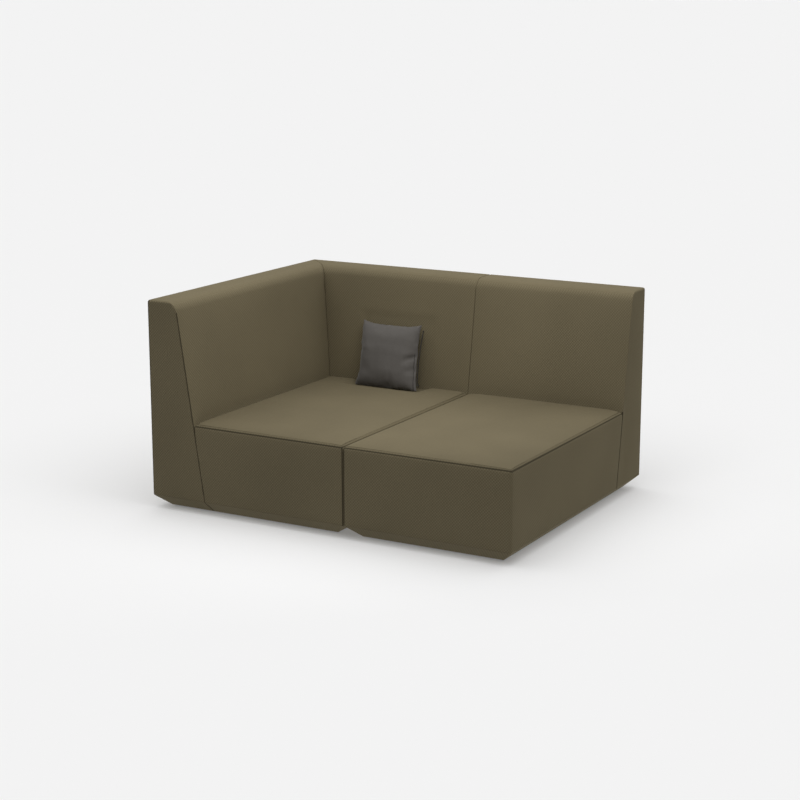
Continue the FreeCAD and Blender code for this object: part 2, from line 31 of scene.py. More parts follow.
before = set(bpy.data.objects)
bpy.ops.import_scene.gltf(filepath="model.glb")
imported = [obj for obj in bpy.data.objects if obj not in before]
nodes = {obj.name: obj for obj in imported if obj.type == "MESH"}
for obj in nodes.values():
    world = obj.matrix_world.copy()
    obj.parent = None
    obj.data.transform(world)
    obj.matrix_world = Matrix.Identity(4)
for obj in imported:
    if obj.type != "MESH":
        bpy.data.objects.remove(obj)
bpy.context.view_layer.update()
scene = bpy.context.scene
mm = 0.001
tight = 0.01 * mm        # points nearer than this are cut as one


def smoothStep(value):
    value = min(1.0, max(0.0, value))
    return value * value * (3 - 2 * value)


def axisVector(axis):
    return Vector([float(i == axis) for i in range(3)])


# Materials

def colour(hexValue):
    # sRGB hex to the linear values that the sockets take
    parts = [int(hexValue[i:i + 2], 16) / 255 for i in (1, 3, 5)]
    return [c / 12.92 if c <= 0.04045 else ((c + 0.055) / 1.055) ** 2.4 for c in parts] + [1.0]


def addNode(tree, kind, settings=None):
    # One node. A setting is a property, a socket's value, or an output that feeds the socket.
    node = tree.nodes.new(kind)
    for key, value in (settings or {}).items():
        if isinstance(key, str) and hasattr(node, key):
            setattr(node, key, value)
        elif isinstance(value, bpy.types.NodeSocket):
            tree.links.new(value, node.inputs[key])
        else:
            node.inputs[key].default_value = value
    return node


def addMath(tree, operation, *values):
    settings = {"operation": operation, **dict(enumerate(values))}
    return addNode(tree, "ShaderNodeMath", settings).outputs[0]


def mapRange(tree, value, fromLow, fromHigh, toLow=0.0, toHigh=1.0):
    settings = {0: value, 1: fromLow, 2: fromHigh, 3: toLow, 4: toHigh}
    return addNode(tree, "ShaderNodeMapRange", settings).outputs[0]


def mixColours(tree, share, first, second):
    settings = {"data_type": "RGBA", 0: share, 6: first, 7: second}
    return addNode(tree, "ShaderNodeMix", settings).outputs[2]


def addNoise(tree, place, scale, detail):
    settings = {"Vector": place, "Scale": scale, "Detail": detail}
    return addNode(tree, "ShaderNodeTexNoise", settings).outputs[0]


def objectPlace(tree):
    return addNode(tree, "ShaderNodeTexCoord").outputs["Object"]


def readLayer(tree, name):
    # What the mesh keeps on its points under this name
    return addNode(tree, "ShaderNodeAttribute", {"attribute_name": name}).outputs["Fac"]


def newMaterial(name):
    material = bpy.data.materials.new(name)
    material.use_nodes = True
    material.node_tree.nodes.clear()
    return material, material.node_tree


def finishMaterial(tree, surface, baseColour, height, bump, depth, rough=None):
    # The surface shader with its colour and relief, and a changing roughness where it has one
    relief = addNode(tree, "ShaderNodeBump",
                     {"Strength": bump, "Distance": depth, "Height": height})
    settings = {**surface, "Base Color": baseColour, "Normal": relief.outputs[0]}
    if rough is not None:
        settings["Roughness"] = rough
    shader = addNode(tree, "ShaderNodeBsdfPrincipled", settings)
    addNode(tree, "ShaderNodeOutputMaterial", {"Surface": shader.outputs[0]})


noiseRange = (0.3, 0.7)        # what a noise texture gives nearly everywhere
creaseReach = 20 * mm          # distances from a fold are kept on the mesh up to here

fabricLook = {
    "light": "#786f58",        # tops of the threads
    "dark": "#615843",         # between the threads
    "seam": "#2a2519",         # the shadow down in a seam
    "repeat": 13.2 * mm,       # one diamond of the weave, coarser than in a real weave
    "level": 0.75,             # from this slope on, the pattern lies in the level plane
    "thread": 1.4 * mm,
    "threadRelief": 0.35,      # beside the diamonds' own
    "patches": 2.5,            # slow changes of tone, per metre
    "tones": (0.94, 1.05),
    "paintedTopShading": 0.11,           # painted shade: how much darker the seats' tops are, and painted highlight: how much paler the arm's and backs' tops are
    "fullSeam": 0.45,          # the seam layer's value where the seam's shadow is full
    "crease": (4.5 * mm, 2.5 * mm),    # from a fold: where its shadow begins, where it is full
    "creaseShadow": 0.8,
    "bump": 0.35, "depth": 0.8 * mm,
    "surface": {"Roughness": 0.9, "Sheen Weight": 0.22, "Sheen Roughness": 0.4,
                "Sheen Tint": colour("#d8cba4"), "Specular IOR Level": 0.15},
}


def makeWeave(name, look):
    # Polyester upholstery weave: matt, a small diamond pattern, soft light at grazing angles
    material, tree = newMaterial(name)
    place = objectPlace(tree)
    x, y, z = addNode(tree, "ShaderNodeSeparateXYZ", {0: place}).outputs
    facing = addNode(tree, "ShaderNodeNewGeometry").outputs["Normal"]
    slope = addNode(tree, "ShaderNodeSeparateXYZ", {0: facing}).outputs[2]
    level = addMath(tree, "GREATER_THAN", addMath(tree, "ABSOLUTE", slope), look["level"])
    along, across = addMath(tree, "ADD", x, y), addMath(tree, "SUBTRACT", x, y)
    upward = addNode(tree, "ShaderNodeMix", {"data_type": "FLOAT", 0: level, 2: z, 3: across})
    waves = []
    for way in ("ADD", "SUBTRACT"):
        slant = addMath(tree, way, along, upward.outputs[0])
        turns = addMath(tree, "MULTIPLY", slant, 2 * math.pi / look["repeat"])
        waves.append(addMath(tree, "COSINE", turns))
    diamonds = mapRange(tree, addMath(tree, "ADD", *waves), -2.0, 2.0)
    threads = addNoise(tree, place, 1 / look["thread"], 1.0)
    patches = addNoise(tree, place, look["patches"], 2.0)
    blend = mixColours(tree, diamonds, colour(look["dark"]), colour(look["light"]))
    tone = mapRange(tree, patches, *noiseRange, *look["tones"])
    # painted shade on the seats' tops and painted highlight on the arm's and backs' tops, read from
    # the mesh layer
    paintedTopTone = addMath(tree, "MULTIPLY_ADD", readLayer(tree, "paintedTopShading"), -look["paintedTopShading"], tone)
    cloth = addNode(tree, "ShaderNodeHueSaturation", {"Value": paintedTopTone, "Color": blend}).outputs[0]
    deep = mapRange(tree, readLayer(tree, "seam"), 0.0, look["fullSeam"])
    faint, full = [1 - distance / creaseReach for distance in look["crease"]]
    fold = mapRange(tree, readLayer(tree, "crease"), faint, full, 0.0, look["creaseShadow"])
    sewn = mixColours(tree, addMath(tree, "MAXIMUM", deep, fold), cloth, colour(look["seam"]))
    relief = addMath(tree, "MULTIPLY_ADD", threads, look["threadRelief"], diamonds)
    finishMaterial(tree, look["surface"], sewn, relief, look["bump"], look["depth"])
    return material


def makeGrain(name, light, dark, scale, surface, bump, depth, stretch=(1, 1, 1), sewn=None):
    # A grained material: noise between two colours, stretched along the grain, with its own
    # relief, and a shadow colour for its seams where it has any
    material, tree = newMaterial(name)
    lie = addNode(tree, "ShaderNodeMapping", {"Vector": objectPlace(tree), "Scale": stretch})
    grain = addNoise(tree, lie.outputs[0], scale, 3.0)
    blend = mixColours(tree, grain, colour(dark), colour(light))
    if sewn:
        deep = mapRange(tree, readLayer(tree, "seam"), 0.4, 1.0, 0.0, 0.8)
        blend = mixColours(tree, deep, blend, colour(sewn))
    middle = surface["Roughness"]
    rough = mapRange(tree, grain, *noiseRange, middle * 0.9, min(1.0, middle * 1.1))
    finishMaterial(tree, surface, blend, grain, bump, depth, rough)
    return material


print("materials")
sofaFabric = makeWeave("wovenPolyesterOlive", fabricLook)
pillowFabric = makeGrain("brushedCottonGrey", "#605c57", "#4e4b48", 900,
                         {"Roughness": 0.85, "Sheen Weight": 0.2, "Sheen Roughness": 0.4},
                         0.3, 0.5 * mm, sewn="#24211d")


# Upholstered forms

sofa = {
    "seatHeight": 404 * mm,
    "lean": math.atan(0.1506),        # of the arm's and backs' inner faces
    "grid": 16 * mm,
    "fold": 3.0 * mm,                 # from a sharp edge to the loop that keeps it tight
    "hullWeld": 0.02 * mm, "hullFlat": math.radians(0.4),
    "gridWeld": 0.2 * mm, "sliver": 0.1 * mm,
    "endRound": 12 * mm, "endKept": 3 * mm,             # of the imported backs' ends
    "cornerRound": 21.7 * mm, "cornerKept": 2.3 * mm,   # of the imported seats' rear corners
    "cornerZone": (20 * mm, 25 * mm), # how far in and down such a corner is filled up
    "baseHem": 2.6 * mm, "baseRise": 1.4 * mm,
    "footHeight": 25 * mm,            # the arm and the backs are pressed on the seats up to here
    "cloth": {"mass": 0.3, "stiffness": 30, "bending": 0.5, "pressure": 4, "limit": 5 * mm,
              "frames": 20},
    "sideSwell": 0.4,                 # share of the swelling on the seats' fronts and sides
    "pillowGap": 6 * mm, "pillowFade": 45 * mm,         # beside the pillow nothing swells
    "dome": 11 * mm,                  # how far the seats' tops rise above their open edges
    "domeFrom": 16 * mm, "domeBand": 14 * mm,           # below the seat's height
    "seatStrip": 12 * mm,             # from the seat's edge to the seam on its top
    "seamDepth": 1.6 * mm, "seamWidth": 8.0 * mm, "seamNear": 30 * mm,
    "topSlope": 0.7,                  # what faces up more than this is the seat's top
    "highlightFrom": 0.2, "highlightSpan": 0.6,   # slopes over which the painted highlight on the arm's and backs' tops comes in
}


def squareEnd(bm, end, inwards, near=0.7 * mm):
    # Two backs meet in a tight seam, so the rounding of the end is filled up, but for a little
    start = end + inwards * sofa["endRound"]
    for v in [v for v in bm.verts if abs(v.co.x - start) < near]:
        bm.verts.new((end + inwards * sofa["endKept"], v.co.y, v.co.z))


def squareCorner(bm, corner, near=mm):
    # The open seat's rear corner meets the back in a tight seam as well
    inward, down = sofa["cornerZone"]
    start = corner[1] - sofa["cornerRound"]
    for v in [v for v in bm.verts if abs(v.co.y - start) < near and v.co.x > corner[0] - inward
              and v.co.z > sofa["seatHeight"] - down]:
        bm.verts.new((v.co.x, corner[1] - sofa["cornerKept"], v.co.z))


def outerForm(settings):
    # The outside of a cover as one closed form: the covers all bulge outwards, so it is their hull
    bm = bmesh.new()
    for vertex in nodes[settings["node"]].data.vertices:
        bm.verts.new(vertex.co)
    low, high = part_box(settings["node"])
    square = settings.get("square")
    if square == "low":
        squareEnd(bm, low[0], 1)
    elif square == "high":
        squareEnd(bm, high[0], -1)
    elif square == "corner":
        squareCorner(bm, high)
    bmesh.ops.remove_doubles(bm, verts=bm.verts[:], dist=sofa["hullWeld"])
    bmesh.ops.convex_hull(bm, input=bm.verts[:])
    loose = [v for v in bm.verts if not v.link_faces]
    bmesh.ops.delete(bm, geom=loose, context="VERTS")
    bmesh.ops.dissolve_limit(bm, angle_limit=sofa["hullFlat"], verts=bm.verts[:], edges=bm.edges[:])
    bmesh.ops.recalc_face_normals(bm, faces=bm.faces[:])
    return bm


def edgesBetween(bm, one, other, straight=0.9, shortest=20 * mm, match=0.95, spread=0.004):
    # The middle of the rounding where a side that looks one way meets a side that looks the other
    middle, along = (one + other).normalized(), one.cross(other).normalized()
    found = []
    for edge in bm.edges:
        line = edge.verts[1].co - edge.verts[0].co
        least = max(straight * line.length, shortest)
        if len(edge.link_faces) == 2 and abs(line.dot(along)) > least:
            normal = (edge.link_faces[0].normal + edge.link_faces[1].normal).normalized()
            found.append((normal.dot(middle), edge))
    best = max((fit for fit, edge in found), default=0)
    return [edge for fit, edge in found if best > match and fit > best - spread]


def foldLine(edge, thinner, top=None):
    # The two ends of an edge, cut off at a height where there is one
    low, high = sorted((v.co.copy() for v in edge.verts), key=lambda p: p.z)
    if top is not None and high.z > top:
        high = low + (high - low) * ((top - low.z) / (high.z - low.z))
    return low, high, thinner


def isBase(face):
    return face.normal.z < -0.95


def recessBase(bm):
    # The cover turns under the base board's edge and stops there, above the dust cloth
    base = [f for f in bm.faces if isBase(f)]
    bmesh.ops.inset_region(bm, faces=base, thickness=sofa["baseHem"], depth=-sofa["baseRise"])


def withEdges(faces):
    return list({part for f in faces for part in (f, *f.edges, *f.verts)})


def cut(bm, faces, point, direction):
    return bmesh.ops.bisect_plane(bm, geom=withEdges(faces), dist=tight, plane_co=point,
                                  plane_no=direction)


def supportEdges(bm, distance, large=0.02, parallel=0.99):
    # A loop beside every sharp edge of a large face (square metres), so that the edge stays a
    # tight fold when the form is smoothed
    planes = [(f.calc_center_median(), f.normal.copy()) for f in bm.faces if f.calc_area() > large]
    for centre, direction in planes:
        faces = [f for f in bm.faces if abs(f.normal.dot(direction)) < parallel]
        cut(bm, faces, centre - direction * distance, direction)


def cutGrid(bm, step, across=0.8):
    # Panels cut into squares. A face is cut only across the directions that it lies along.
    for axis in range(3):
        direction = axisVector(axis)
        low = min(v.co[axis] for v in bm.verts)
        high = max(v.co[axis] for v in bm.verts)
        count = round((high - low) / step)
        faces = [f for f in bm.faces if abs(f.normal[axis]) < across and not isBase(f)]
        geometry = withEdges(faces)
        for i in range(1, count):
            point = direction * (low + (high - low) * i / count)
            geometry = bmesh.ops.bisect_plane(bm, geom=geometry, dist=tight, plane_co=point,
                                              plane_no=direction)["geom"]


def newPiece(name, bm, material):
    mesh = bpy.data.meshes.new(name)
    bm.to_mesh(mesh)
    bm.free()
    piece = bpy.data.objects.new(name, mesh)
    scene.collection.objects.link(piece)
    mesh.materials.append(material)
    for polygon in mesh.polygons:
        polygon.use_smooth = True
    return piece


def inflate(pieces, cloth):
    # Air pressure behind the covers, held where they are sewn or pressed on a neighbour. Each piece
    # comes with how freely a point of it may rise, and no point moves farther than the limit.
    starts, results = {}, {}
    for piece, rise in pieces:
        starts[piece.name] = [v.co.copy() for v in piece.data.vertices]
        cover = piece.modifiers.new("cover", "CLOTH")
        cover.settings.quality = 4
        cover.settings.mass = cloth["mass"]
        cover.settings.tension_stiffness = cloth["stiffness"]
        cover.settings.compression_stiffness = cloth["stiffness"]
        cover.settings.shear_stiffness = cloth["stiffness"] / 3
        cover.settings.bending_stiffness = cloth["bending"]
        cover.settings.use_pressure = True
        cover.settings.uniform_pressure_force = cloth["pressure"]
        cover.settings.effector_weights.gravity = 0
        cover.settings.vertex_group_mass = "held"
        cover.collision_settings.use_collision = False
        cover.point_cache.frame_start = 1
        cover.point_cache.frame_end = cloth["frames"]
    for number in range(1, cloth["frames"] + 1):
        scene.frame_set(number)
    graph = bpy.context.evaluated_depsgraph_get()
    for piece, rise in pieces:
        results[piece.name] = [v.co.copy() for v in piece.evaluated_get(graph).data.vertices]
    for piece, rise in pieces:
        piece.modifiers.remove(piece.modifiers["cover"])
        farthest = 0.0
        for vertex, start, end in zip(piece.data.vertices, starts[piece.name], results[piece.name]):
            move = end - start
            length = move.length
            farthest = max(farthest, length)
            limit = cloth["limit"] * rise(start)
            if length > 0 and limit > 0:
                vertex.co = start + move * (limit * (1 - math.exp(-length / limit)) / length)
            else:
                vertex.co = start
        print("  inflated", piece.name, "moved", round(farthest / mm, 1), "mm before the limit")
    scene.frame_set(1)


def smoothOnce(piece):
    smooth = piece.modifiers.new("smooth", "SUBSURF")
    smooth.levels = 1
    smooth.render_levels = 1


pillowLow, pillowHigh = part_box("pillow_cover")


def besidePillow(point):
    # 0 where the pillow rests on the seat and the back, 1 from about 50 mm away
    away = 0.0
    for axis in range(3):
        away = max(away, pillowLow[axis] - point[axis], point[axis] - pillowHigh[axis])
    return smoothStep((away - sofa["pillowGap"]) / sofa["pillowFade"])


def evenly(point):
    return 1.0


def onSeat(point):
    # The tops are crowned, the fronts and sides only a little full
    if point.z > sofa["seatHeight"] - sofa["fold"]:
        return besidePillow(point)
    return sofa["sideSwell"]


up, front, rear = Vector((0, 0, 1)), Vector((0, -1, 0)), Vector((0, 1, 0))
left, right = Vector((-1, 0, 0)), Vector((1, 0, 0))
armLean = Vector((math.cos(sofa["lean"]), 0, math.sin(sofa["lean"])))
backLean = Vector((0, -math.cos(sofa["lean"]), math.sin(sofa["lean"])))
underFront = Vector((0, -55, -62)).normalized()      # the plinth's chamfers
underRight = Vector((55, 0, -62)).normalized()

# panels: the sides that may swell. square: a rounding that is filled up for a tight seam.
# foot: the way it looks, and from where on it is pressed on the seats.
# folds: two sides whose shared edge is a shadowed line, how much thinner the line is, its top.
# seams: the sides of a seat's top with a seam beside them. low: those where its dome rounds down,
# and how fast.
upholstery = {
    "arm": {
        "node": "arm_cover", "body": "arm", "fill": 0.85, "rise": evenly,
        "panels": [up, left, front, armLean], "foot": (right, -0.70),
        "folds": [(front, left, -3 * mm), (front, armLean, mm), (underFront, armLean, -1 * mm)],
    },
    "leftBack": {
        "node": "left_back_cover", "body": "left_back", "fill": 0.85, "rise": besidePillow,
        "panels": [up, rear, backLean], "square": "high", "foot": (front, -0.50),
        "folds": [(backLean, right, 2.5 * mm)],
    },
    "rightBack": {
        "node": "right_back_cover", "body": "right_back", "fill": 0.85, "rise": evenly,
        "panels": [up, rear, right, backLean], "square": "low", "foot": (front, -0.50),
        "folds": [(right, rear, -4 * mm), (right, backLean, -2.5 * mm, sofa["seatHeight"]),
                  (underRight, backLean, -5 * mm)],
    },
    "leftSeat": {
        "node": "left_seat_cover", "body": "corner_seat", "fill": 0.8, "rise": onSeat,
        "panels": [up, front],
        "folds": [(front, right, 2 * mm), (up, front, 0.7 * mm), (up, right, 1.5 * mm)],
        "seams": [(0, "low"), (0, "high"), (1, "low"), (1, "high")],
        "low": [(0, "high", 14 * mm), (1, "low", 24 * mm)],
    },
    "rightSeat": {
        "node": "right_seat_cover", "body": "open_seat", "fill": 0.8, "rise": onSeat,
        "panels": [up, front, right], "square": "corner",
        "folds": [(front, left, 2 * mm), (up, front, 0.7 * mm), (up, right, 0.7 * mm)],
        "seams": [(0, "high"), (1, "low"), (1, "high")],
        "low": [(0, "low", 27 * mm), (0, "high", 22 * mm), (1, "low", 24 * mm)],
    },
}


def isPressed(point, settings):
    if "foot" not in settings:
        return False
    direction, place = settings["foot"]
    return point.z < sofa["seatHeight"] + sofa["footHeight"] and point.dot(direction) > place


def inPanel(vertex, panels, parallel=0.998):
    return any(all(f.normal.dot(direction) > parallel for f in vertex.link_faces)
               for direction in panels)


def makeUpholstered(name, settings):
    bm = outerForm(settings)
    lines = [foldLine(edge, *drawn) for one, other, *drawn in settings["folds"]
             for edge in edgesBetween(bm, one, other)]
    recessBase(bm)
    supportEdges(bm, sofa["fold"])
    cutGrid(bm, sofa["grid"])
    bmesh.ops.remove_doubles(bm, verts=bm.verts[:], dist=sofa["gridWeld"])
    bmesh.ops.dissolve_degenerate(bm, dist=sofa["sliver"], edges=bm.edges[:])
    bm.normal_update()
    free = [inPanel(vertex, settings["panels"]) and not isPressed(vertex.co, settings)
            for vertex in bm.verts]
    piece = newPiece(name + "Cover", bm, sofaFabric)
    held = piece.vertex_groups.new(name="held")
    held.add([i for i, value in enumerate(free) if not value], 1.0, "REPLACE")
    print("  made", piece.name, len(free), "points,", sum(free), "free,", len(lines), "folds")
    return piece, lines


print("covers")
covers, foldLines = {}, {}
for name, settings in upholstery.items():
    covers[name], foldLines[name] = makeUpholstered(name, settings)
inflate([(covers[name], upholstery[name]["rise"]) for name in covers], sofa["cloth"])


def domeSeat(piece, settings):
    # The top stands full against the arm and the back, and rounds down to its seams at the open
    # sides
    low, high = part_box(settings["node"])
    for vertex in piece.data.vertices:
        p = vertex.co
        onTop = smoothStep((p.z - sofa["seatHeight"] + sofa["domeFrom"]) / sofa["domeBand"])
        rise = sofa["dome"] * onTop * besidePillow(p)
        for axis, end, reach in settings["low"]:
            away = p[axis] - low[axis] if end == "low" else high[axis] - p[axis]
            rise *= 1 - math.exp(-max(0.0, away) / reach)
        p.z += rise


def sewSeam(bm, layer, point, direction, keep):
    # A sewn seam: a narrow channel where the plane crosses the faces that keep() allows
    near = [f for f in bm.faces if keep(f.calc_center_median(), f.normal)]
    for shift in (-sofa["seamWidth"] / 2, 0, sofa["seamWidth"] / 2):
        faces = [f for f in near if f.is_valid]
        parts = cut(bm, faces, point + direction * shift, direction)
        near = [g for g in parts["geom"] if isinstance(g, bmesh.types.BMFace)]
        if shift == 0:
            line = [g for g in parts["geom_cut"] if isinstance(g, bmesh.types.BMVert)]
    bm.normal_update()
    moves = [(v, v.normal.copy()) for v in line if keep(v.co, v.normal)]
    for v, outwards in moves:
        if v[layer] == 0:
            v.co -= outwards * sofa["seamDepth"]
            v[layer] = 1.0


def sewSeat(piece, settings):
    # Seams on the top, a strip's width in from the edges, and painted shade on the top itself
    ends = dict(zip(("low", "high"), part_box(settings["node"])))
    strip, topSlope = sofa["seatStrip"], sofa["topSlope"]
    bm = bmesh.new()
    bm.from_mesh(piece.data)
    layer = bm.verts.layers.float.new("seam")
    for axis, end in settings["seams"]:
        direction, other = axisVector(axis), 1 - axis
        place = ends[end][axis] + (strip if end == "low" else -strip)
        first, last = ends["low"][other] + strip - mm, ends["high"][other] - strip + mm
        sewSeam(bm, layer, direction * place, direction,
                lambda p, normal: normal.z > topSlope and abs(p[axis] - place) < sofa["seamNear"]
                and first < p[other] < last)
    # painted shade: the seat's top is marked to be darkened in the colour
    paintedTopShading = bm.verts.layers.float.new("paintedTopShading")
    for v in bm.verts:
        v[paintedTopShading] = float(v.normal.z > topSlope)
    bm.to_mesh(piece.data)
    bm.free()


def markFolds(piece, lines):
    # Keeps on every point how near it is to a shadowed fold: 1 on it, 0 from creaseReach away.
    # The arm's and backs' tops get a painted highlight, paler the more they face up.
    bm = bmesh.new()
    bm.from_mesh(piece.data)
    layer = bm.verts.layers.float.new("crease")
    paintedTopShading = bm.verts.layers.float.get("paintedTopShading")
    if not paintedTopShading:
        paintedTopShading = bm.verts.layers.float.new("paintedTopShading")
        # painted highlight: the more a top faces up, the paler it is made
        for v in bm.verts:
            v[paintedTopShading] = -smoothStep((v.normal.z - sofa["highlightFrom"]) / sofa["highlightSpan"])
    for v in bm.verts:
        nearest = creaseReach
        for start, end, thinner in lines:
            along = end - start
            share = min(1.0, max(0.0, (v.co - start).dot(along) / along.length_squared))
            nearest = min(nearest, (v.co - start - along * share).length + thinner)
        v[layer] = 1 - nearest / creaseReach
    bm.to_mesh(piece.data)
    bm.free()


for name in ("leftSeat", "rightSeat"):
    domeSeat(covers[name], upholstery[name])
    sewSeat(covers[name], upholstery[name])

for name, settings in upholstery.items():
    piece = covers[name]
    markFolds(piece, foldLines[name])
    smoothOnce(piece)
    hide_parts(settings["node"])
    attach(piece, settings["body"])


# Scatter pillow

pillow = {
    "lean": 17.5,             # degrees
    "width": 338 * mm, "topWidth": 318 * mm, "height": 318 * mm, "thickness": 108 * mm,
    "leftDraw": 22 * mm, "rightDraw": 11 * mm,    # how far the sides pull in
    "drawFrom": 0.17,         # share of the height over which the left side begins to pull in
    "topSag": 17 * mm,        # how far the top edge sinks between its ears
    "twist": -15 * mm,        # how far its top has slipped sideways
    "rim": 10 * mm,
    "strip": 14 * mm, "stripTop": 20 * mm, "stripDepth": 2.5 * mm,    # the zip's cover strip
    "grid": 7.5 * mm,
    "ripple": 0.8 * mm, "ripples": 30,            # fabric is never quite flat: how much, per metre
    "cloth": {"mass": 0.02, "stiffness": 15, "bending": 0.1, "pressure": 7,
              "limit": 9.0, "frames": 30},        # the limit is as good as none
    # dents where the filling has moved from the right side: across, up, length, width, turn, depth
    "dents": [(0.118, 0.150, 0.030, 0.011, 35, 0.010), (0.128, 0.092, 0.022, 0.012, 20, 0.009),
              (-0.105, 0.080, 0.035, 0.020, -40, 0.003)],
}


def pillowHalfWidth(across, share):
    # The left side pulls in close above its lower corner, the right side evenly
    straight = (pillow["width"] + share * (pillow["topWidth"] - pillow["width"])) / 2
    if across < 0:
        begun = 1 - math.exp(-(share / pillow["drawFrom"]) ** 2)
        return straight - pillow["leftDraw"] * begun * (1 - share)
    return straight - pillow["rightDraw"] * (1 - abs(2 * share - 1) ** 4)


def pillowEdge(across, upward):
    # Where a point of the rim belongs: both run from -1 to 1 over the flat panels
    share = (upward + 1) / 2
    side = across * pillowHalfWidth(across, share) + share * pillow["twist"]
    height = pillow["height"] - pillow["topSag"] * (1 - abs(across) ** 4)
    return Vector((side, 0, share * height))


def fitPillow(flat, blown, rim):
    # Moves the blown form so that its rim lies on the wanted outline, and the panels with it
    spots = [(p.x / (pillow["width"] / 2), p.z / (pillow["height"] / 2)) for p in flat]
    keys = [(round(across, 3), round(upward, 3)) for across, upward in spots]
    beside = {}
    for i in sorted(rim):
        beside.setdefault(keys[i], []).append(blown[i])
    shift = {key: pillowEdge(*key) - sum(points, Vector()) / len(points)
             for key, points in beside.items()}
    fitted = []
    for (across, upward), (a, b), p in zip(spots, keys, blown):
        right, top = (across + 1) / 2, (upward + 1) / 2
        ends = shift[(a, -1.0)] * (1 - top) + shift[(a, 1.0)] * top
        sides = shift[(-1.0, b)] * (1 - right) + shift[(1.0, b)] * right
        both = (shift[(-1.0, -1.0)] * (1 - right) * (1 - top)
                + shift[(1.0, -1.0)] * right * (1 - top)
                + shift[(-1.0, 1.0)] * (1 - right) * top + shift[(1.0, 1.0)] * right * top)
        fitted.append(p + ends + sides - both)
    return fitted


def softenPanels(points, edges, rim, times=6):
    # Evens out the small wrinkles, and leaves the sewn rim as it is
    beside = [[] for p in points]
    for a, b in edges:
        beside[a].append(b)
        beside[b].append(a)
    for number in range(times):
        middles = [sum((points[j] for j in near), Vector()) * (0.5 / len(near)) for near in beside]
        points = [p if i in rim else p * 0.5 + middles[i] for i, p in enumerate(points)]
    return points


def flatPillow():
    # Two panels sewn round a narrow rim, with a second seam for the zip's strip, low on the right
    bm = bmesh.new()
    bmesh.ops.create_cube(bm, size=1)
    size = Vector((pillow["width"], pillow["rim"], pillow["height"]))
    bmesh.ops.scale(bm, vec=size, verts=bm.verts[:])
    for axis, length in ((0, pillow["width"]), (2, pillow["height"])):
        count = round(length / pillow["grid"])
        for i in range(1, count):
            place = axisVector(axis) * (length * i / count - length / 2)
            cut(bm, bm.faces[:], place, axisVector(axis))
    layer = bm.verts.layers.float.new("seam")
    seamPlace = pillow["width"] / 2 - pillow["strip"]
    for v in bm.verts:
        if (v.co.y < 0 and abs(v.co.x - seamPlace) < pillow["grid"] / 2
                and v.co.z < pillow["stripTop"]):
            v[layer] = 1.0
    return bm


def dentPillow(points):
    for p in points:
        if p.y < 0:
            for across, upward, long, short, turn, depth in pillow["dents"]:
                a = math.radians(turn)
                dx, dz = p.x - across, p.z - upward
                u, v = dx * math.cos(a) + dz * math.sin(a), dz * math.cos(a) - dx * math.sin(a)
                p.y += depth * math.exp(-(u / long) ** 2 - (v / short) ** 2)


def placePillow(piece, points):
    # Back to its place: leaning on the back, its lower edge on the seat
    turn = Matrix.Rotation(math.radians(-pillow["lean"]), 4, "X")
    upright = [turn.inverted() @ v.co for v in nodes["pillow_cover"].data.vertices]
    low = [min(p[axis] for p in upright) for axis in range(3)]
    high = [max(p[axis] for p in upright) for axis in range(3)]
    foot = Vector(((low[0] + high[0]) / 2, (low[1] + high[1]) / 2, low[2]))
    for vertex, p in zip(piece.data.vertices, points):
        vertex.co = turn @ (p + foot)


def makePillow():
    # Flat at first, blown up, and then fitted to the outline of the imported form
    bm = flatPillow()
    flat = [v.co.copy() for v in bm.verts]
    for v in bm.verts:
        v.co.y += pillow["ripple"] * noise.noise(v.co * pillow["ripples"])
    piece = newPiece("scatterPillow", bm, pillowFabric)
    piece.vertex_groups.new(name="held")      # empty, because nothing holds it
    inflate([(piece, evenly)], pillow["cloth"])
    rim = {i for i, p in enumerate(flat)
           if max(abs(p.x) / pillow["width"], abs(p.z) / pillow["height"]) > 0.499}
    blown = [v.co.copy() for v in piece.data.vertices]
    blown = softenPanels(blown, [tuple(e.vertices) for e in piece.data.edges], rim)
    points = fitPillow(flat, blown, rim)
    thickest = max(p.y for p in points) - min(p.y for p in points)
    seam = piece.data.attributes["seam"].data
    for i, p in enumerate(points):
        p.y *= pillow["thickness"] / thickest
        p.y += pillow["stripDepth"] * seam[i].value
    dentPillow(points)
    placePillow(piece, points)
    smoothOnce(piece)
    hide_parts("pillow_cover", "pillow_filling")
    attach(piece, "pillow")


print("pillow")
makePillow()


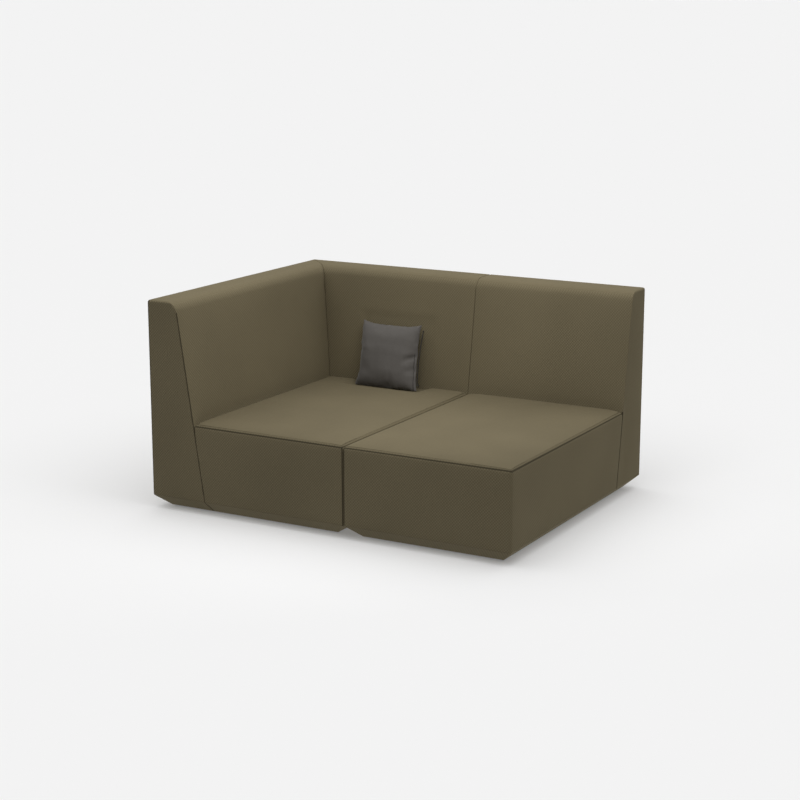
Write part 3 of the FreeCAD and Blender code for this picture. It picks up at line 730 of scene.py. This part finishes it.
# Frames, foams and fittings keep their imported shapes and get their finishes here

# for each material: how the names of its nodes end, its light and dark colour, its grain per metre,
# its surface, the strength and depth of its relief, and how its grain is stretched
finishes = {
    "openCellFoam": ("foam", "#d9cfa8", "#b9ad84", 450, {"Roughness": 0.95}, 0.6, 0.8 * mm),
    "polyesterWadding": ("filling", "#efefec", "#d4d4d0", 120,
                         {"Roughness": 1.0, "Sheen Weight": 0.4}, 0.6, 1.5 * mm),
    "birchPlywood": ("rails bearers board panels frame", "#c9a673", "#a98450", 22,
                     {"Roughness": 0.55}, 0.15, 0.3 * mm, (1, 12, 12)),
    "spunBondLining": ("cloth", "#2b2b2d", "#19191b", 700, {"Roughness": 0.9}, 0.4, 0.2 * mm),
    "elasticWebbing": ("webbing", "#8f8a80", "#4d4a45", 500, {"Roughness": 0.8}, 0.5, 0.4 * mm),
    "mouldedPolypropyleneBlack": ("glides", "#1f1f20", "#151516", 900,
                                  {"Roughness": 0.45, "IOR": 1.49}, 0.12, 0.05 * mm),
    "zincPlatedSteel": ("keepers tongues screws", "#b9bcc0", "#8e9297", 260,
                        {"Roughness": 0.34, "Metallic": 1.0}, 0.05, 0.05 * mm),
    # the zip tape is a real part, and its dark grey is painted shade, so that it reads as the
    # shadow beside the pillow's right side
    "zipTapeShadowGrey": ("tape", "#3d3a36", "#2b2926", 1300, {"Roughness": 0.8}, 0.5, 0.2 * mm),
    "darkenedZincCasting": ("slider pull", "#6f6d69", "#4b4a47", 400,
                            {"Roughness": 0.4, "Metallic": 1.0}, 0.06, 0.05 * mm),
}


def dressNodes():
    materials = {"cover": sofaFabric}
    for name, (endings, *look) in finishes.items():
        material = makeGrain(name, *look)
        materials.update({ending: material for ending in endings.split()})
    for name, node in nodes.items():
        for slot in node.material_slots:
            slot.material = materials[name.split("_")[-1]]


print("fittings")
dressNodes()


# Floor, light and camera

studio = {
    "floor": "#f3f3f3", "floorSize": 300,
    "bounce": 0.46,           # soft light back from the paper
    "shadowLift": 0.2,        # how far the paper's shadows are filled
    "ambient": 0.0,           # light from the room itself, none: the lamps and the paper give it
    "sky": 1.0, "skyWidth": 120, "skyPlace": Vector((0, 0, 4)),    # strength, degrees across
    "fill": 6.2,              # a small lamp over the seats, towards the inner corner
    "fillSize": (1.0, 0.5),
    "fillPlace": Vector((0.55, -0.55, 1.45)), "fillTarget": Vector((-0.45, 0.45, 0.72)),
    "lens": 80.5412, "sensor": 36, "target": Vector((-0.1171, 0.1979, 0.4018)),
    "azimuth": 29.2538, "elevation": 12.9887, "distance": 8.3338,
}


def addHolder(name, data, place, direction=None, axis="-Z"):
    # A lamp or camera in its place, with its axis turned to a direction where it has one
    holder = bpy.data.objects.new(name, data)
    holder.matrix_world = Matrix.Translation(place)
    if direction is not None:
        holder.matrix_world = (Matrix.Translation(place)
                               @ direction.to_track_quat(axis, "Y").to_matrix().to_4x4())
    scene.collection.objects.link(holder)
    return holder


def makeStage():
    # Seamless studio paper, matt and pale
    bm = bmesh.new()
    bmesh.ops.create_grid(bm, x_segments=1, y_segments=1, size=studio["floorSize"])
    material, tree = newMaterial("mattPaperFloor")
    pale, white = colour(studio["floor"]), colour("#ffffff")
    paper = addNode(tree, "ShaderNodeBsdfDiffuse", {"Color": pale}).outputs[0]
    glow = addNode(tree, "ShaderNodeEmission", {"Color": pale, "Strength": 1.0}).outputs[0]
    seen = addNode(tree, "ShaderNodeMixShader", {0: studio["shadowLift"], 1: paper, 2: glow})
    bounce = addNode(tree, "ShaderNodeEmission", {"Color": white, "Strength": studio["bounce"]})
    path = addNode(tree, "ShaderNodeLightPath").outputs
    direct = addMath(tree, "MAXIMUM", path["Is Camera Ray"], path["Is Glossy Ray"])
    blend = addNode(tree, "ShaderNodeMixShader",
                    {0: direct, 1: bounce.outputs[0], 2: seen.outputs[0]})
    addNode(tree, "ShaderNodeOutputMaterial", {"Surface": blend.outputs[0]})
    newPiece("floor", bm, material)


def makeSky():
    # A very wide, soft lamp, even over the whole floor
    light = bpy.data.lights.new("overheadSoftbox", "SUN")
    light.angle = math.radians(studio["skyWidth"])
    light.energy = math.pi * studio["sky"]
    addHolder("overheadSoftbox", light, studio["skyPlace"])


def makeFill():
    # Over the seats' front right corner, aimed at the inner faces of the arm and backs
    light = bpy.data.lights.new("fillPanel", "AREA")
    light.shape = "RECTANGLE"
    light.size, light.size_y = studio["fillSize"]
    light.energy = studio["fill"]
    lamp = addHolder("fillPanel", light, studio["fillPlace"],
                     studio["fillTarget"] - studio["fillPlace"])
    lamp.visible_camera = False


def makeWorld():
    # The camera sees the paper's colour beyond the floor
    world = bpy.data.worlds.new("studio")
    world.use_nodes = True
    tree = world.node_tree
    tree.nodes.clear()
    path = addNode(tree, "ShaderNodeLightPath").outputs
    seen = addMath(tree, "MAXIMUM", path["Is Camera Ray"], path["Is Transmission Ray"])
    room = addNode(tree, "ShaderNodeBackground",
                   {"Color": colour("#ffffff"), "Strength": studio["ambient"]})
    back = addNode(tree, "ShaderNodeBackground",
                   {"Color": colour(studio["floor"]), "Strength": 1.0})
    blend = addNode(tree, "ShaderNodeMixShader",
                    {0: seen, 1: room.outputs[0], 2: back.outputs[0]})
    addNode(tree, "ShaderNodeOutputWorld", {"Surface": blend.outputs[0]})
    scene.world = world


def makeCamera():
    camera = bpy.data.cameras.new("camera")
    camera.sensor_fit = "HORIZONTAL"
    camera.sensor_width = studio["sensor"]
    camera.lens = studio["lens"]
    turn, rise = math.radians(studio["azimuth"]), math.radians(studio["elevation"])
    back = Vector((math.sin(turn) * math.cos(rise), -math.cos(turn) * math.cos(rise),
                   math.sin(rise)))
    place = studio["target"] + back * studio["distance"]
    scene.camera = addHolder("camera", camera, place, back, "Z")


print("studio")
makeStage()
makeSky()
makeFill()
makeWorld()
makeCamera()
scene.view_settings.view_transform = "Standard"
